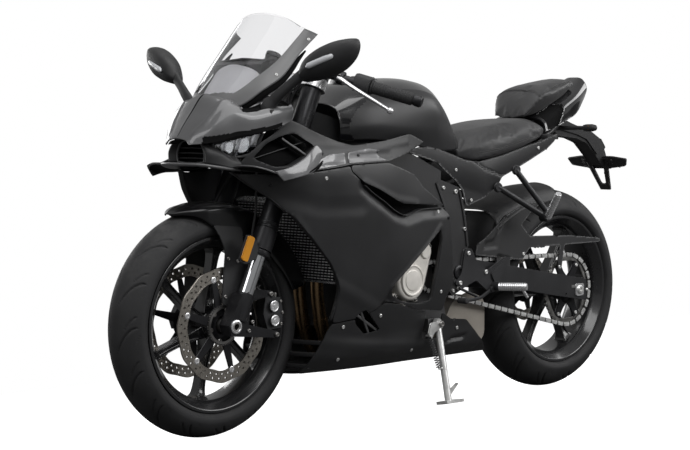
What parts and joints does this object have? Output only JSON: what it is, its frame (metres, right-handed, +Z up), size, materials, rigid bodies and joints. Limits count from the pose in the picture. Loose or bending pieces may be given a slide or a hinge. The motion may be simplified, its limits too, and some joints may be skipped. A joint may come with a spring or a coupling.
{
  "type": "sport motorcycle",
  "caption": "Fully faired sport motorcycle parked on its side stand, with turning wheels, steering, folding stand and hinged filler lid.",
  "frame": {"origin": "on the ground, under the centre of the whole machine's box as it stands leaning on its side stand", "axes": "+X the way the machine drives, +Y to the rider's left, +Z up"},
  "size_m": [2.034, 0.8154, 1.098],
  "materials": {
    "tyre": "worn matt rubber",
    "wheel_black": "gloss black lacquer",
    "disc_steel": "brushed",
    "sprocket": "dark satin",
    "fork": "black anodised",
    "caliper": "black satin",
    "axle": "bright",
    "clamp_silver": "machined satin",
    "bar_black": "satin black",
    "lever_silver": "polished",
    "gloss_black": "gloss lacquer",
    "tank_black": "gloss lacquer",
    "cap": "black anodised",
    "frame_grey": "satin dark grey",
    "engine": "cast satin grey",
    "radiator": "thin fins",
    "exhaust": "heat tinted satin",
    "swingarm": "satin black",
    "chain": "oiled links",
    "seat": "fine grain black vinyl",
    "lamp_red": "red lens",
    "matt_black": "moulded",
    "shock": "damper body and spring",
    "rearset": "satin grey",
    "satin_panel": "satin dark grey lacquer",
    "screen": "light smoke",
    "lamp_clear": "clear lens over chrome bowls",
    "mirror_shell": "satin shell",
    "stand_steel": "plated"
  },
  "bodies": {
    "chassis": {"belly_pan": "satin_panel", "chain": "chain", "clutch_cover_right": "engine", "engine_block": "engine", "engine_cover_left": "engine", "exhaust": "exhaust", "footrest_left": "rearset", "footrest_right": "rearset", "frame": "frame_grey", "fuel_tank": "tank_black", "headlight_left": "lamp_clear", "headlight_right": "lamp_clear", "instrument_panel": "matt_black", "mirror_left": "mirror_shell", "mirror_right": "mirror_shell", "nose_fairing": "gloss_black", "pillion_footrest_left": "rearset", "pillion_footrest_right": "rearset", "pillion_seat": "seat", "plate_holder": "matt_black", "radiator": "radiator", "rear_caliper": "caliper", "rear_hugger": "matt_black", "rear_shock": "shock", "rider_seat": "seat", "side_fairing_left": "satin_panel", "side_fairing_right": "satin_panel", "subframe": "frame_grey", "swingarm": "swingarm", "tail_cowl": "gloss_black", "tail_light": "lamp_red", "windscreen": "screen"},
    "steering": {"fork_left": "fork", "fork_right": "fork", "front_caliper_left": "caliper", "front_caliper_right": "caliper", "front_axle": "axle", "triple_clamp": "clamp_silver", "handlebar_left": "bar_black", "handlebar_right": "bar_black", "clutch_lever": "lever_silver", "brake_lever": "lever_silver", "front_fender": "gloss_black"},
    "front_wheel": {"front_tyre": "tyre", "front_rim": "wheel_black", "front_disc_left": "disc_steel", "front_disc_right": "disc_steel"},
    "rear_wheel": {"rear_tyre": "tyre", "rear_rim": "wheel_black", "rear_disc": "disc_steel", "rear_sprocket": "sprocket"},
    "stand": {"side_stand": "stand_steel"},
    "filler_lid": {"fuel_cap": "cap"}
  },
  "joints": [
    {"name": "steering_turn", "type": "hinge", "parent": "chassis", "child": "steering", "pos_m": [0.46085, -0.03605, 0.7856], "axis": [-0.3987, 0.1592, 0.9031], "range_deg": [-28, 28]},
    {"name": "front_wheel_spin", "type": "hinge", "parent": "steering", "child": "front_wheel", "pos_m": [0.719, -0.1226, 0.29477], "axis": [0, 0.9848, -0.1736], "continuous": true},
    {"name": "rear_wheel_spin", "type": "hinge", "parent": "chassis", "child": "rear_wheel", "pos_m": [-0.671, -0.12051, 0.30658], "axis": [0, 0.9848, -0.1736], "continuous": true},
    {"name": "stand_fold", "type": "hinge", "parent": "chassis", "child": "stand", "pos_m": [0.006, 0.03591, 0.2262], "axis": [-0.1895, 0.967, -0.1705], "range_deg": [0, 92]},
    {"name": "filler_lid_open", "type": "hinge", "parent": "chassis", "child": "filler_lid", "pos_m": [0.232, -0.00955, 0.93588], "axis": [0, 0.9848, -0.1736], "range_deg": [0, 85]}
  ]
}
